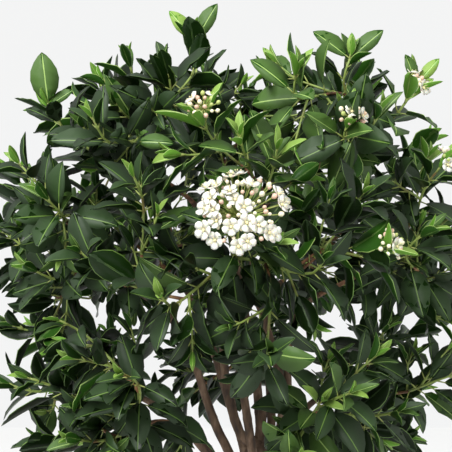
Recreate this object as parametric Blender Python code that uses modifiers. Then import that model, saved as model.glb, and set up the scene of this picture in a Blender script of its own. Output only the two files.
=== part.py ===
# Potted standard laurustinus: Viburnum tinus trained to a round head on one clear stem.
# A clay pot and its soil, the stem up to its pruned tip, thirteen boughs, and on the tip
# of each bough a mass of leafy shoots. Metres, +Z up, origin under the middle of the pot.

import math

import bmesh
import bpy
import numpy as np
from mathutils import Matrix
from mathutils.bvhtree import BVHTree

GAP = 0.0003
UP = np.array((0.0, 0.0, 1.0))
LEVEL = np.array((1.0, 1.0, 0.0))
OFF_AXIS = np.array((0.3, 0.1, 0.95))
GOLDEN_ANGLE = math.pi * (3 - math.sqrt(5))

# Clay pot, a plain 28 cm one with a thick rim
POT_HEIGHT = 0.245
POT_RIM_RADIUS = 0.140
POT_RIM_DEPTH = 0.046
POT_RIM_STEP = 0.007
POT_RIM_CHAMFER = 0.002
POT_LIP = 0.013
POT_LIP_ROUND = 0.004
POT_FOOT_RADIUS = 0.096
POT_FOOT_ROUND = 0.003
POT_WALL = 0.010
POT_FLOOR = 0.014
POT_SEGMENTS = 32
DRAIN_HOLES = 4
DRAIN_RADIUS = 0.008
DRAIN_CIRCLE = 0.054
DRAIN_SEGMENTS = 12

# Soil, flat round the stem and a little lower at the pot's wall
SOIL_TOP = 0.220
SOIL_FLAT_RADIUS = 0.050
SOIL_DIP = 0.005

# Stem, from its flat foot on the soil to the cut where its leader was pruned
STEM_TIP = np.array((0.021, -0.016, 0.757))
STEM_SWAY = 0.006
STEM_RADIUS_FOOT = 0.0082
STEM_RADIUS_TOP = 0.0062
STEM_RADIUS_TIP = 0.0040
STEM_FORK_LENGTH = 0.100
ROOT_FLARE = 0.0050
ROOT_FLARE_HEIGHT = 0.016
STEM_SIDES = 8
STEM_RINGS = 14

# Crown outline: round in plan, squarer than an ellipse from the side, with three low lobes
CROWN_MIDDLE = np.array((-0.008, 0.0, 0.875))
CROWN_RADIUS = 0.225
CROWN_RISE = 0.218
CROWN_DROP = 0.225
CROWN_SQUARENESS = 2.5
CROWN_LOBES = 0.035
CROWN_LOBE_TURN = 0.6

# Boughs in three rings: names, bearing of the first, height where the ring leaves the
# stem, reach and height of their tips, and of the heart of the mass on each
LOW_RING = dict(
    names=("low_right_front", "low_right", "low_rear", "low_left", "low_left_front"),
    bearing=-54.0, leaves=0.656, tip=(0.088, 0.758), heart=(0.132, 0.768),
)
MIDDLE_RING = dict(
    names=("middle_front", "middle_right", "middle_right_rear", "middle_left_rear", "middle_left"),
    bearing=-90.0, leaves=0.688, tip=(0.080, 0.860), heart=(0.150, 0.900),
)
TOP_RING = dict(
    names=("top_right", "top_rear", "top_left"),
    bearing=-30.0, leaves=0.722, tip=(0.036, 0.940), heart=(0.075, 1.020),
)
RING_STEPS = (0.0, 0.0168, 0.0056, 0.0224, 0.0112)
BOUGH_RADIUS = 0.0042
BOUGH_TIP_RADIUS = 0.0024
BOUGH_RISE = 0.9
BOUGH_BOW = 0.35
BOUGH_COLLAR = 0.003
BOUGH_SIDES = 6
BOUGH_RINGS = 8

# Shoots, three-sided, and swept wider by SHOOT_SWELL than a round one would be. Each ends
# a little inside the crown's outline, which its last leaves reach
SEED = 50
SHOOT_TIPS = 83
LOWEST_RISE = -0.70
TIP_INSET = 0.022
TIP_INSET_SPREAD = 0.022
TIP_SCATTER = 0.005
TIP_SPACING = 0.036
TIP_UPTURN = 0.55
TIP_UPTURN_HIGH = 0.45
SHOOT_RINGS = 4
SHOOT_RADIUS = 0.0021
SHOOT_TIP_RADIUS = 0.0012
SHOOT_SWELL = 1.25
SHOOT_BOWS = (0.36, 0.18, 0.02)
SHOOT_CLEARANCE = 0.0012
TURN_COST = 0.6
SHARPEST_TURN = 1.2
PARENT_PULL = 0.4

# Leaves in opposite pairs, each pair a quarter turn on from the last. Each stands for
# the few smaller ones of the real shoot
LEAF_LENGTH = 0.067
LEAF_WIDTH = 0.032
LEAF_THICKNESS = 0.0014
LEAF_FOLD = 0.0030
LEAF_ARCH = 0.0062
LEAF_WIDEST = 0.04
LEAF_SINK = 0.0004
LEAF_MARGIN = 0.0006
LEAF_CLEARANCE = 0.0035
LEAF_DROOP = 0.12
LEAF_LEVELLING = 0.5
LEAF_WOBBLE = 4.0
YOUNG_WIDTH = 0.85
YOUNG_ARCH = 0.4
BARE_ROOT = 0.14
PAIRS = (
    # distance from the shoot's tip, angle off the shoot in degrees, share of full length
    (0.004, 34.0, 0.72),
    (0.027, 56.0, 1.00),
    (0.052, 68.0, 1.05),
    (0.080, 76.0, 1.00),
    (0.112, 80.0, 0.95),
)
LEAF_TRIES = (
    # turn about the shoot in radians, change of angle off it in degrees, share of its size
    (0.0, 0.0, 1.0), (0.35, -6.0, 1.0), (-0.35, -6.0, 1.0), (0.0, -22.0, 1.0), (0.7, 4.0, 0.92),
    (-0.7, 4.0, 0.92), (0.3, 16.0, 0.92), (-0.3, 16.0, 0.92), (0.0, -30.0, 0.92), (1.0, -10.0, 0.85),
    (-1.0, -10.0, 0.85), (0.0, -14.0, 0.75), (0.6, 8.0, 0.75), (-0.6, 8.0, 0.75), (0.0, 20.0, 0.75),
)

# Shoots that stand out against the sky or carry flowers in front: across, back and up
# from the crown's middle, and the radius of the flower head, 0 for none
MARKED_TIPS = (
    (0.005, -0.188, 0.058, 0.036),
    (-0.029, -0.060, 0.192, 0.0),
    (-0.147, -0.060, 0.140, 0.0),
    (0.095, -0.070, 0.178, 0.0),
    (-0.020, -0.150, 0.135, 0.011),
    (0.087, -0.150, 0.128, 0.011),
    (0.150, -0.060, 0.158, 0.009),
    (0.112, -0.165, 0.036, 0.011),
)
BUD_SHARE = 0.12
BUD_HEAD_RADIUS = 0.009
HEAD_LEAN = 0.55
HEAD_DOME = 0.58
HEAD_UNDERSIDE = 0.30
OPEN_HEAD_RADIUS = 0.020
FLORETS = 11
FLORET_RADIUS = 0.0085
FLORET_FLATNESS = 0.45
FLORET_SEAT = 0.84
FLORET_SPREAD = 0.75


def unit(vector):
    return vector / np.linalg.norm(vector)


def bearing_vector(degrees):
    return np.array((math.cos(math.radians(degrees)), math.sin(math.radians(degrees)), 0.0))


def square_pair(axis):
    """Two unit vectors square to an axis and to each other."""
    side = unit(np.cross(axis, OFF_AXIS))
    return side, np.cross(axis, side)


# Materials

def material(name, color, roughness, metallic=0.0):
    made = bpy.data.materials.new(name)
    made.use_nodes = True
    shader = made.node_tree.nodes["Principled BSDF"]
    shader.inputs["Base Color"].default_value = (*color, 1.0)
    shader.inputs["Roughness"].default_value = roughness
    shader.inputs["Metallic"].default_value = metallic
    made.diffuse_color = (*color, 1.0)
    return made


def make_materials():
    return {
        "clay": material("clay", (0.46, 0.17, 0.085), 0.85),
        "soil": material("soil", (0.030, 0.019, 0.012), 0.95),
        "bark": material("bark", (0.13, 0.075, 0.040), 0.80),
        "leaf": material("foliage", (0.020, 0.060, 0.014), 0.38),
        "blossom": material("blossom", (0.80, 0.76, 0.62), 0.60),
    }


# Scene and mesh helpers

def clear_scene():
    for obj in list(bpy.data.objects):
        bpy.data.objects.remove(obj, do_unlink=True)


def new_collection(name):
    collection = bpy.data.collections.new(name)
    bpy.context.scene.collection.children.link(collection)
    return collection


def place(name, data, collection, skin=None):
    obj = bpy.data.objects.new(name, data)
    collection.objects.link(obj)
    if skin and not data.materials:
        data.materials.append(skin)
    return obj


def hide_guide(obj):
    obj.hide_render = True
    obj.display_type = "WIRE"
    return obj


def evaluated_mesh(obj):
    graph = bpy.context.evaluated_depsgraph_get()
    return bpy.data.meshes.new_from_object(obj.evaluated_get(graph))


def turned(name, profile, collection, skin):
    """A profile of (radius, height) points, run down the outer side and turned about Z."""
    mesh = bpy.data.meshes.new(name)
    edges = [(i, i + 1) for i in range(len(profile) - 1)]
    mesh.from_pydata([(r, 0.0, z) for r, z in profile], edges, [])
    obj = place(name, mesh, collection, skin)
    screw = obj.modifiers.new("Turn", "SCREW")
    screw.steps = screw.render_steps = POT_SEGMENTS
    screw.use_merge_vertices = True
    screw.merge_threshold = 0.00005
    return obj


def corner(middle, radius, start, stop, steps=3):
    """Points of a rounded corner, from one angle to another in degrees."""
    angles = np.radians(np.linspace(start, stop, steps))
    return [(middle[0] + radius * math.cos(a), middle[1] + radius * math.sin(a)) for a in angles]


def section(name, sides, guides):
    """A regular polygon of unit radius that limbs are swept with."""
    curve = bpy.data.curves.new(name, "CURVE")
    curve.dimensions = "2D"
    spline = curve.splines.new("POLY")
    spline.points.add(sides - 1)
    for i, point in enumerate(spline.points):
        angle = 2 * math.pi * i / sides
        point.co = (math.cos(angle), math.sin(angle), 0.0, 1.0)
    spline.use_cyclic_u = True
    return hide_guide(place(name, curve, guides))


def tube_mesh(name, points, radii, profile, collection, skin):
    """A closed limb swept along a path, its caps welded on and its faces turned outwards."""
    curve = bpy.data.curves.new(name, "CURVE")
    curve.dimensions = "3D"
    curve.bevel_mode = "OBJECT"
    curve.bevel_object = profile
    curve.use_fill_caps = True
    spline = curve.splines.new("POLY")
    spline.points.add(len(points) - 1)
    for point, spot, radius in zip(spline.points, points, radii):
        point.co = (*spot, 1.0)
        point.radius = radius
    swept = place(name, curve, collection)
    mesh = evaluated_mesh(swept)
    bpy.data.objects.remove(swept, do_unlink=True)
    bpy.data.curves.remove(curve)
    work = bmesh.new()
    work.from_mesh(mesh)
    bmesh.ops.remove_doubles(work, verts=work.verts, dist=0.00001)
    bmesh.ops.recalc_face_normals(work, faces=work.faces)
    work.to_mesh(mesh)
    work.free()
    mesh.name = name
    mesh.materials.clear()
    mesh.materials.append(skin)
    return mesh


def bend(start, leaving, end, arriving, bow, count):
    """Points on one smooth bend, with each handle a share of the span."""
    span = np.linalg.norm(end - start)
    t = np.linspace(0.0, 1.0, count)[:, None]
    near, far = start + leaving * span * bow, end - arriving * span * bow
    return (1 - t) ** 3 * start + 3 * (1 - t) ** 2 * t * near + 3 * (1 - t) * t**2 * far + t**3 * end


def distance_to_path(points, path):
    """Each point's distance to the nearest segment of a path."""
    start, run = path[:-1], np.diff(path, axis=0)
    reach = points[:, None, :] - start[None]
    share = np.clip((reach * run).sum(2) / (run * run).sum(1), 0.0, 1.0)
    return np.linalg.norm(reach - share[..., None] * run, axis=2).min(1)


# Pot and soil

def pot_inner_radius(height):
    share = (height - POT_FLOOR) / (POT_HEIGHT - POT_FLOOR)
    foot = POT_FOOT_RADIUS - POT_WALL
    return foot + share * (POT_RIM_RADIUS - POT_LIP - foot)


def make_pot(parts, cutters, skins):
    rim_foot = POT_HEIGHT - POT_RIM_DEPTH
    inner_lip = POT_RIM_RADIUS - POT_LIP + POT_LIP_ROUND
    outer_lip = POT_RIM_RADIUS - POT_LIP_ROUND
    lip_height = POT_HEIGHT - POT_LIP_ROUND
    foot_round = POT_FOOT_RADIUS - POT_FOOT_ROUND
    profile = [(0.0, POT_FLOOR), (pot_inner_radius(POT_FLOOR), POT_FLOOR)]
    profile += corner((inner_lip, lip_height), POT_LIP_ROUND, 180, 90)
    profile += corner((outer_lip, lip_height), POT_LIP_ROUND, 90, 0)
    profile += [
        (POT_RIM_RADIUS - POT_RIM_CHAMFER, rim_foot + POT_RIM_CHAMFER),
        (POT_RIM_RADIUS - 2 * POT_RIM_CHAMFER, rim_foot),
        (POT_RIM_RADIUS - POT_RIM_STEP, rim_foot - POT_RIM_CHAMFER),
    ]
    profile += corner((foot_round, POT_FOOT_ROUND), POT_FOOT_ROUND, 0, -90)
    profile += [(0.0, 0.0)]
    pot = turned("pot", profile, parts, skins["clay"])
    for i in range(DRAIN_HOLES):
        angle = 2 * math.pi * (i + 0.5) / DRAIN_HOLES
        spot = (DRAIN_CIRCLE * math.cos(angle), DRAIN_CIRCLE * math.sin(angle), 0.0)
        bpy.ops.mesh.primitive_cylinder_add(
            vertices=DRAIN_SEGMENTS, radius=DRAIN_RADIUS, depth=4 * POT_FLOOR, location=spot
        )
        cutter = hide_guide(bpy.context.object)
        cutter.name = f"drain_cutter_{i + 1}"
        for holder in list(cutter.users_collection):
            holder.objects.unlink(cutter)
        cutters.objects.link(cutter)
        hole = pot.modifiers.new(f"Drain {i + 1}", "BOOLEAN")
        hole.operation = "DIFFERENCE"
        hole.object = cutter


def make_soil(parts, skins):
    edge_height = SOIL_TOP - SOIL_DIP
    base_height = POT_FLOOR + GAP
    profile = [
        (0.0, SOIL_TOP),
        (SOIL_FLAT_RADIUS, SOIL_TOP),
        (pot_inner_radius(edge_height) - GAP, edge_height),
        (pot_inner_radius(base_height) - GAP, base_height),
        (0.0, base_height),
    ]
    turned("soil", profile, parts, skins["soil"])


# Stem and boughs

def stem_path(heights):
    """The stem's middle line: a slight lean with one shallow sway."""
    foot = SOIL_TOP + GAP
    heights = np.asarray(heights, float)
    share = (heights - foot) / (STEM_TIP[2] - foot)
    x = STEM_TIP[0] * share + STEM_SWAY * np.sin(2 * math.pi * share)
    y = STEM_TIP[1] * share + STEM_SWAY / 2 * np.sin(math.pi * share)
    return np.stack((x, y, heights), axis=-1)


def stem_radius(heights):
    """Root flare at the foot, a slow taper to the fork, and a quicker one past the boughs."""
    up = np.asarray(heights, float) - SOIL_TOP - GAP
    clear = STEM_TIP[2] - STEM_FORK_LENGTH - SOIL_TOP
    slow = (STEM_RADIUS_TOP - STEM_RADIUS_FOOT) * np.clip(up / clear, 0.0, 1.0)
    quick = (STEM_RADIUS_TIP - STEM_RADIUS_TOP) * np.clip((up - clear) / STEM_FORK_LENGTH, 0.0, 1.0)
    return STEM_RADIUS_FOOT + slow + quick + ROOT_FLARE * np.exp(-up / ROOT_FLARE_HEIGHT)


def make_stem(parts, profile, skins):
    foot = SOIL_TOP + GAP
    flare = foot + ROOT_FLARE_HEIGHT * np.array((0.0, 0.35, 0.9, 1.8))
    above = np.linspace(foot + 3 * ROOT_FLARE_HEIGHT, STEM_TIP[2], STEM_RINGS - len(flare))
    heights = np.concatenate((flare, above))
    path = stem_path(heights)
    path[0, :2] = path[1, :2]
    place("trunk", tube_mesh("trunk", path, stem_radius(heights), profile, parts, skins["bark"]), parts)
    return dict(path=path, radius=float(stem_radius(above[0])))


def bough_plan():
    """Each bough's name, foot and tip, its directions there, and the heart of its mass."""
    plan = []
    for ring in (LOW_RING, MIDDLE_RING, TOP_RING):
        for i, name in enumerate(ring["names"]):
            out = bearing_vector(ring["bearing"] + 360.0 * i / len(ring["names"]))
            leaves = ring["leaves"] + RING_STEPS[i]
            below, axis, above = stem_path((leaves - BOUGH_RADIUS, leaves, leaves + BOUGH_RADIUS))
            along = unit(above - below)
            square = unit(out - along * float(along @ out))
            start = axis + square * (float(stem_radius(leaves)) + GAP)
            tip = CROWN_MIDDLE * LEVEL + out * ring["tip"][0] + UP * ring["tip"][1]
            heart = CROWN_MIDDLE * LEVEL + out * ring["heart"][0] + UP * ring["heart"][1]
            bough = dict(name=name, start=start, square=square, tip=tip, heart=heart)
            bough["leaving"] = unit(out + BOUGH_RISE * UP)
            bough["arriving"] = unit(unit(heart - tip) + out + UP / 2)
            plan.append(bough)
    return plan


def make_bough(bough, parts, profile, skins):
    """One tapering limb, with a short straight collar at its foot and at its tip."""
    foot = bough["start"] + bough["square"] * BOUGH_COLLAR
    rest = bend(foot, bough["leaving"], bough["tip"], bough["arriving"], BOUGH_BOW, BOUGH_RINGS - 2)
    bough["end"] = bough["tip"] + bough["arriving"] * BOUGH_COLLAR
    path = np.concatenate((bough["start"][None], rest, bough["end"][None]))
    radii = np.linspace(BOUGH_RADIUS, BOUGH_TIP_RADIUS, len(path))
    name = "bough_" + bough["name"]
    place(name, tube_mesh(name, path, radii, profile, parts, skins["bark"]), parts)
    return dict(path=path, radius=BOUGH_RADIUS)


# Crown outline and the tips of the shoots

def outline_distance(direction):
    """How far the crown reaches from its middle along a direction."""
    rise = CROWN_RISE if direction[2] > 0 else CROWN_DROP
    level = math.hypot(direction[0], direction[1]) / CROWN_RADIUS
    high = abs(direction[2]) / rise
    even = (level**CROWN_SQUARENESS + high**CROWN_SQUARENESS) ** (-1 / CROWN_SQUARENESS)
    turn = math.atan2(direction[1], direction[0])
    return even * (1 + CROWN_LOBES * math.sin(3 * turn + CROWN_LOBE_TURN) * math.cos(2 * direction[2]))


def shoot_tips(rng):
    """The marked tips, then tips spread evenly over the outline with a seeded scatter."""
    tips = [(CROWN_MIDDLE + np.array(tip[:3]), tip[3]) for tip in MARKED_TIPS]
    for k in range(SHOOT_TIPS):
        rise = 1 - (1 - LOWEST_RISE) * (k + 0.5) / SHOOT_TIPS
        turn = k * GOLDEN_ANGLE
        level = math.sqrt(1 - rise * rise)
        direction = np.array((level * math.cos(turn), level * math.sin(turn), rise))
        depth = TIP_INSET + TIP_INSET_SPREAD * rng.random()
        tip = CROWN_MIDDLE + direction * (outline_distance(direction) - depth)
        tip = tip + rng.normal(0.0, TIP_SCATTER, 3)
        head = BUD_HEAD_RADIUS if rng.random() < BUD_SHARE else 0.0
        if all(np.linalg.norm(tip - other) > TIP_SPACING for other, _ in tips):
            tips.append((tip, head))
    return tips


def growing_direction(point):
    """A shoot's tip turns outwards and up, the more so the higher it stands."""
    away = unit(point - CROWN_MIDDLE)
    return unit(away * (LEVEL + UP / 2) + UP * (TIP_UPTURN + TIP_UPTURN_HIGH * max(away[2], 0.0)))


# One mass of foliage

class Space:
    """The room of one mass: the points nearer to its heart than to any other, clear of limbs."""

    def __init__(self, number, hearts, limbs):
        heart = hearts[number]
        others = np.delete(hearts, number, axis=0)
        self.middles = (others + heart) / 2
        self.normals = np.array([unit(heart - other) for other in others])
        self.limbs = limbs

    def holds(self, points, margin):
        points = np.atleast_2d(points)
        inward = ((points[:, None, :] - self.middles[None]) * self.normals[None]).sum(2)
        return bool((inward > margin).all())

    def is_clear(self, points, margin):
        for limb in self.limbs:
            if distance_to_path(points, limb["path"]).min() < limb["radius"] + margin:
                return False
        return True


def cheapest_start(shoots, tip):
    """Where a shoot to this tip leaves the others: the least length and turning."""
    best = None
    for shoot in shoots:
        path = shoot["path"]
        for j in range(1, len(path) - 1):
            along = unit(path[j + 1] - path[j - 1])
            way = tip - path[j]
            length = np.linalg.norm(way)
            turn = 1 - float(along @ way) / length
            cost = length * (1 + TURN_COST * turn)
            if turn < SHARPEST_TURN and (best is None or cost < best[0]):
                best = (cost, path[j], unit(PARENT_PULL * along + unit(way)), shoot["radii"][j])
    return best[1:] if best else None


def grow_shoots(bough, tips, space):
    """The stem, to the tip that lies straightest on, then a shoot to each other tip, near ones
    first. One that would leave the space or touch a limb grows straighter, or is left out."""
    root = bough["end"] + bough["arriving"] * GAP
    onward = [float(unit(tip - root) @ bough["arriving"]) for tip, _ in tips]
    first = int(np.argmax(onward))
    rest = [i for i in range(len(tips)) if i != first]
    rest.sort(key=lambda i: np.linalg.norm(tips[i][0] - root))
    shoots = []
    for i in [first, *rest]:
        tip, head = tips[i]
        start = cheapest_start(shoots, tip) if shoots else (root, bough["arriving"], BOUGH_TIP_RADIUS)
        if start is None:
            continue
        foot, leaving, thick = start
        for bow in SHOOT_BOWS:
            path = bend(foot, leaving, tip, growing_direction(tip), bow, SHOOT_RINGS)
            margin = thick + SHOOT_CLEARANCE
            if space.holds(path, margin) and space.is_clear(path if shoots else path[1:], margin):
                if not shoots:
                    path[0] = root + bough["arriving"] * BOUGH_COLLAR
                    path = np.concatenate((root[None], path))
                radii = np.linspace(min(thick, SHOOT_RADIUS), SHOOT_TIP_RADIUS, len(path))
                shoots.append(dict(path=path, radii=radii, head=head))
                break
    return shoots


def leaf_mesh(name, length, young, skin):
    """The blade from an octahedron: root at the origin, tip along +X, upper side to +Z.
    Its sides stand above the midrib, and it arches down to root and tip."""
    wide = LEAF_WIDTH / 2 * length / LEAF_LENGTH * (YOUNG_WIDTH if young else 1.0)
    arch = LEAF_ARCH * length / LEAF_LENGTH * (YOUNG_ARCH if young else 1.0)
    mesh = bpy.data.meshes.new(name)
    work = bmesh.new()
    bmesh.ops.create_uvsphere(work, u_segments=4, v_segments=2, radius=1.0)
    for vertex in work.verts:
        x, y, z = vertex.co
        broad = 1 - abs(x)
        along = length * (0.5 + 0.5 * x - LEAF_WIDEST * broad)
        high = arch * (broad - 0.5 * max(x, 0.0)) + LEAF_FOLD * abs(y) + LEAF_THICKNESS / 2 * z
        vertex.co = (along, wide * y, high)
    work.to_mesh(mesh)
    work.free()
    mesh.materials.append(skin)
    return mesh


def leaf_corners(mesh):
    """A leaf's corners and the middles of its edges, which stand for the whole blade in a test."""
    spots = np.array([vertex.co[:] for vertex in mesh.vertices])
    ends = spots[np.array([edge.vertices[:] for edge in mesh.edges])]
    return np.concatenate((spots, ends.mean(1)))


def frame_at(root, along, facing):
    """A matrix that puts a leaf's root at a point, its tip along one way and its face another."""
    across = unit(np.cross(facing, along))
    frame = np.identity(4)
    frame[:3, 0], frame[:3, 1], frame[:3, 2], frame[:3, 3] = along, across, np.cross(along, across), root
    return frame


def search_tree(mesh, spots=None):
    """A mesh as a search tree, on its own vertices or on these."""
    if spots is None:
        spots = np.array([vertex.co[:] for vertex in mesh.vertices])
    return BVHTree.FromPolygons(spots.tolist(), [face.vertices[:] for face in mesh.polygons])


def blade_tree(mesh, frame):
    """The blade as a search tree, without its root, which lies inside the shoot."""
    spots = np.array([vertex.co[:] for vertex in mesh.vertices])
    root = int(spots[:, 0].argmin())
    spots[root, 0] += BARE_ROOT * (spots[:, 0].max() - spots[root, 0])
    return search_tree(mesh, spots @ frame[:3, :3].T + frame[:3, 3])


def walk_back(path, distance):
    """The point on a path at a distance from its tip, and the path's direction there."""
    steps = np.linalg.norm(np.diff(path, axis=0), axis=1)
    run = np.concatenate(([0.0], np.cumsum(steps)))
    at = run[-1] - distance
    if at < 2 * BOUGH_COLLAR:
        return None
    j = max(min(int(np.searchsorted(run, at)), len(path) - 1), 1)
    share = (at - run[j - 1]) / steps[j - 1]
    return path[j - 1] + share * (path[j] - path[j - 1]), unit(path[j] - path[j - 1])


def leaf_places(shoot, kinds, space, taken, rng):
    """Where a shoot's leaves go. One that would leave the space, touch a limb or cross
    another leaf is tried at other turns, then left out."""
    quarter = rng.uniform(0.0, math.pi)
    found = []
    for number, (distance, angle, _) in enumerate(PAIRS):
        at = walk_back(shoot["path"], distance)
        if at is None:
            break
        point, along = at
        side, other = square_pair(along)
        mesh, corners = kinds[number]
        for half in (0, 1):
            for swing, lift, size in LEAF_TRIES:
                turn = quarter + number * math.pi / 2 + half * math.pi + swing
                out = side * math.cos(turn) + other * math.sin(turn)
                spread = math.radians(angle + lift + rng.normal(0.0, LEAF_WOBBLE))
                way = unit(along * math.cos(spread) + out * math.sin(spread) - UP * LEAF_DROOP * number)
                face = along * math.sin(spread) - out * math.cos(spread) + UP * LEAF_LEVELLING * number
                frame = frame_at(point - way * LEAF_SINK, way, face)
                frame[:3, :3] *= size
                spots = corners @ frame[:3, :3].T + frame[:3, 3]
                if not (space.holds(spots, LEAF_MARGIN) and space.is_clear(spots, LEAF_CLEARANCE)):
                    continue
                tree = blade_tree(mesh, frame)
                if any(tree.overlap(near) for near in taken):
                    continue
                taken.append(tree)
                found.append((mesh, frame))
                break
    return found


def flower_head(name, shoot, space, pieces, skins):
    """A flat-topped head on a shoot's tip, leaning outwards: a low dome, studded with open
    florets where it is in full flower. It gives the dome's search tree."""
    before, tip = shoot["path"][-2:]
    radius = shoot["head"]
    axis = unit(unit(tip - before) + HEAD_LEAN * unit((tip - CROWN_MIDDLE) * LEVEL))
    middle = tip + axis * radius * HEAD_UNDERSIDE / 2
    if not space.holds(middle, radius):
        return None
    side, other = square_pair(axis)
    turn = np.stack((side, other, axis), axis=1)
    mesh = bpy.data.meshes.new(name)
    work = bmesh.new()
    bmesh.ops.create_icosphere(work, subdivisions=1, radius=radius)
    for vertex in work.verts:
        high = vertex.co.z * (HEAD_DOME if vertex.co.z > 0 else HEAD_UNDERSIDE)
        vertex.co = middle + turn @ np.array((vertex.co.x, vertex.co.y, high))
    work.to_mesh(mesh)
    work.free()
    place(name, mesh, pieces, skins["blossom"])
    for k in range(FLORETS if radius > OPEN_HEAD_RADIUS else 0):
        rise = 1 - FLORET_SPREAD * (k + 0.5) / FLORETS
        level = math.sqrt(1 - rise * rise)
        angle = k * GOLDEN_ANGLE
        out = turn @ np.array((level * math.cos(angle), level * math.sin(angle), rise * HEAD_DOME))
        frame = frame_at(middle + out * radius * FLORET_SEAT, unit(np.cross(out, side)), out)
        floret = bpy.data.meshes.new(f"{name}_floret_{k}")
        work = bmesh.new()
        bmesh.ops.create_uvsphere(work, u_segments=4, v_segments=2, radius=FLORET_RADIUS)
        bmesh.ops.scale(work, vec=(1.0, 1.0, FLORET_FLATNESS), verts=work.verts)
        work.to_mesh(floret)
        work.free()
        place(f"{name}_floret_{k}", floret, pieces, skins["blossom"]).matrix_world = Matrix(frame.tolist())
    return search_tree(mesh)


def keep_outer_shell(mesh):
    """Fills a hollow that joining sealed and drops a loose scrap: the one largest shell stays."""
    work = bmesh.new()
    work.from_mesh(mesh)
    unseen = set(work.faces)
    shells = []
    while unseen:
        shell, front = [], [unseen.pop()]
        while front:
            face = front.pop()
            shell.append(face)
            for edge in face.edges:
                for near in edge.link_faces:
                    if near in unseen:
                        unseen.discard(near)
                        front.append(near)
        shells.append(shell)
    shells.sort(key=len)
    scraps = [face for shell in shells[:-1] for face in shell]
    bmesh.ops.delete(work, geom=scraps, context="FACES")
    work.to_mesh(mesh)
    work.free()


def fuse(stem, pieces):
    """Joins a mass's pieces to its stem in one union, and removes them."""
    union = stem.modifiers.new("Fuse", "BOOLEAN")
    union.operation = "UNION"
    union.operand_type = "COLLECTION"
    union.collection = pieces
    union.solver = "MANIFOLD"
    union.material_mode = "TRANSFER"
    fused = evaluated_mesh(stem)
    for obj in [stem, *pieces.objects]:
        bpy.data.objects.remove(obj, do_unlink=True)
    bpy.data.collections.remove(pieces)
    keep_outer_shell(fused)
    return fused


def make_mass(name, shoots, space, kinds, parts, profile, skins, rng):
    pieces = new_collection(name + "_pieces")
    taken = []
    for i, shoot in enumerate(shoots):
        title = f"{name}_shoot_{i}"
        mesh = tube_mesh(title, shoot["path"], shoot["radii"] * SHOOT_SWELL, profile, parts, skins["leaf"])
        taken.append(search_tree(mesh))
        limb = place(title, mesh, pieces if i else parts)
        if i == 0:
            stem = limb
        if shoot["head"]:
            head = flower_head(f"{name}_head_{i}", shoot, space, pieces, skins)
            if head:
                taken.append(head)
    leaves = [found for shoot in shoots for found in leaf_places(shoot, kinds, space, taken, rng)]
    for i, (mesh, frame) in enumerate(leaves):
        place(f"{name}_leaf_{i}", mesh, pieces).matrix_world = Matrix(frame.tolist())
    bpy.context.view_layer.update()
    mesh = fuse(stem, pieces)
    mesh.name = name
    place(name, mesh, parts)
    print(name, len(shoots), "shoots", len(leaves), "leaves", len(mesh.polygons), "faces")


def main():
    clear_scene()
    parts = new_collection("potted standard laurustinus")
    guides = new_collection("cutters and guides")
    skins = make_materials()
    make_pot(parts, guides, skins)
    make_soil(parts, skins)
    limbs = [make_stem(parts, section("stem_section", STEM_SIDES, guides), skins)]
    plan = bough_plan()
    bough_section = section("bough_section", BOUGH_SIDES, guides)
    limbs += [make_bough(bough, parts, bough_section, skins) for bough in plan]
    hearts = np.array([bough["heart"] for bough in plan])
    tips = shoot_tips(np.random.default_rng(SEED))
    owners = [int(np.linalg.norm(hearts - tip, axis=1).argmin()) for tip, _ in tips]
    kinds = []
    for i, (_, _, share) in enumerate(PAIRS):
        mesh = leaf_mesh(f"leaf_{i}", LEAF_LENGTH * share, i == 0, skins["leaf"])
        kinds.append((mesh, leaf_corners(mesh)))
    shoot_section = section("shoot_section", 3, guides)
    for number, bough in enumerate(plan):
        own = [tip for tip, owner in zip(tips, owners) if owner == number]
        space = Space(number, hearts, limbs)
        shoots = grow_shoots(bough, own, space)
        rng = np.random.default_rng(SEED + 1 + number)
        make_mass("foliage_" + bough["name"], shoots, space, kinds, parts, shoot_section, skins, rng)


main()
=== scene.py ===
import math

import bpy
import numpy as np
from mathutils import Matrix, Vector


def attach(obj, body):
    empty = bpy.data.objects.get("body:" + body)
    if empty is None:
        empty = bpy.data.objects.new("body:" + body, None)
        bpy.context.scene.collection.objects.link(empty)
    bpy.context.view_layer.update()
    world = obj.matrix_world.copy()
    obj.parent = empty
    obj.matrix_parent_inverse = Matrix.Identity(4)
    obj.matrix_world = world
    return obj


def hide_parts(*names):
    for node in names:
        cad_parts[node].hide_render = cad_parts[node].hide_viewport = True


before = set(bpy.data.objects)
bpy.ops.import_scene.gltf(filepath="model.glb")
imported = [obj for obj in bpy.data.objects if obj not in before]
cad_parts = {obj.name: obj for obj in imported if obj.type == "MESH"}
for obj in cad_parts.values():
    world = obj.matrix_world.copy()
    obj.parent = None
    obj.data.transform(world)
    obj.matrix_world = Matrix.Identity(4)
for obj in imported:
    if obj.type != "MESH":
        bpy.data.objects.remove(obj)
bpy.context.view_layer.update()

up = np.array((0.0, 0.0, 1.0))
level = np.array((1.0, 1.0, 0.0))  # times a vector, it leaves the level part
offAxis = np.array((0.3, 0.1, 0.95))  # a direction that nothing here grows along
fullTurn = 2 * math.pi
anyPhase = 6.3  # random phases are drawn from 0 to a little over a full turn
goldenAngle = math.pi * (3 - math.sqrt(5))


def unit(v):
    return v / np.linalg.norm(v, axis=-1, keepdims=True)


def squareTo(v, axis):
    # v without its share along the axis, as a unit vector
    return unit(v - axis * float(v @ axis))


def squarePair(axis):
    # two directions square to the axis and to each other
    side = unit(np.cross(axis, offAxis))
    return side, np.cross(axis, side)


def turned(side, other, turn):
    return side * math.cos(turn) + other * math.sin(turn)


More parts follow.
